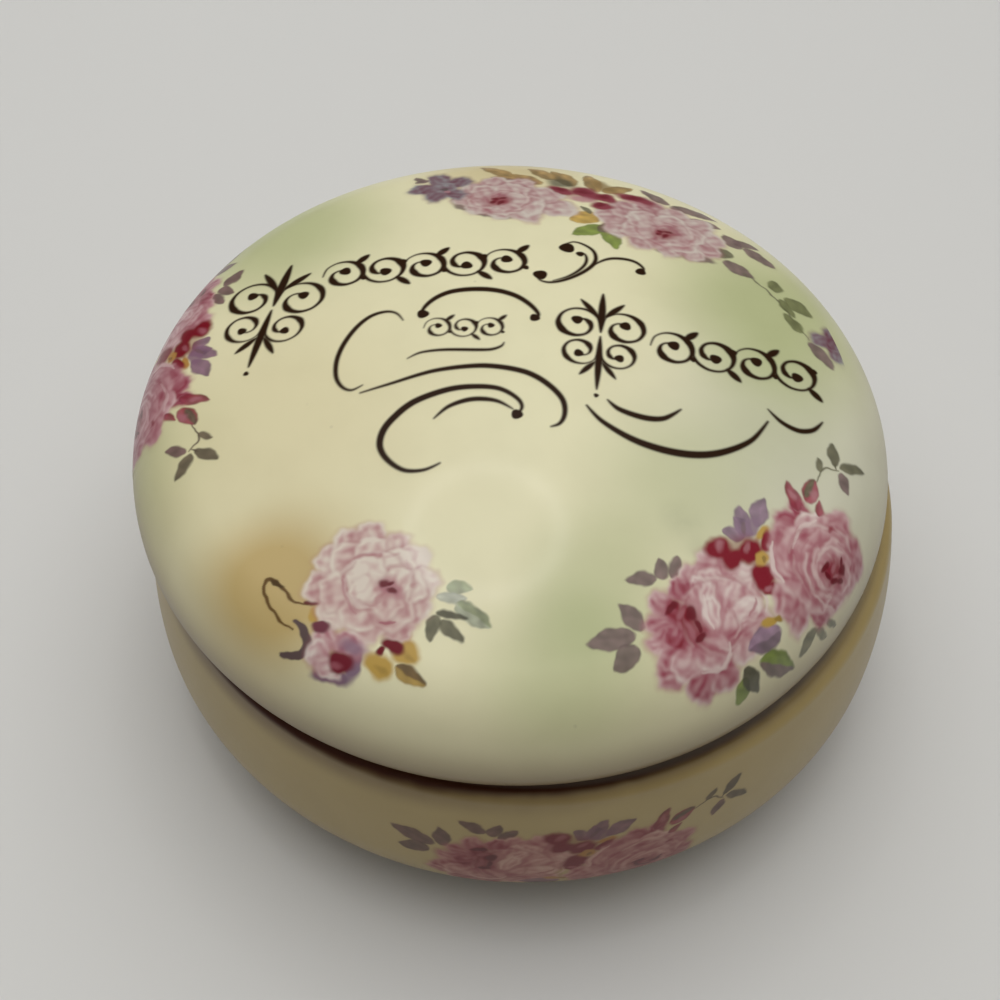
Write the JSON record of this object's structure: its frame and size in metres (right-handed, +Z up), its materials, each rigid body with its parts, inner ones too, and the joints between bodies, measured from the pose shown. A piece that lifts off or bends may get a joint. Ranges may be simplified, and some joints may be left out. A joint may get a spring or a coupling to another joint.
{
  "type": "collar box",
  "caption": "Round covered porcelain box with a low bulging base on a foot ring, a collar round its mouth and a lift-off domed lid.",
  "frame": {"origin": "middle of the base's foot, on the surface that the box stands on", "axes": "+Z up, the way the lid lifts off; the pictured front faces -Y, and the closed lid stands 3.6 mm towards -X within its play"},
  "size_m": [0.1874, 0.1874, 0.1],
  "materials": {
    "base_glaze": "satin glaze over a cream to olive ground, with printed and tinted roses",
    "lid_glaze": "satin glaze over a cream ground shaded in green and ochre, with printed roses and brown scrollwork"
  },
  "bodies": {
    "base": {"base": "base_glaze"},
    "lid": {"lid": "lid_glaze"}
  },
  "joints": [
    {"name": "lid_lift", "type": "slide", "parent": "base", "child": "lid", "axis": [0, 0, 1], "range_m": [0, 0.12]}
  ]
}
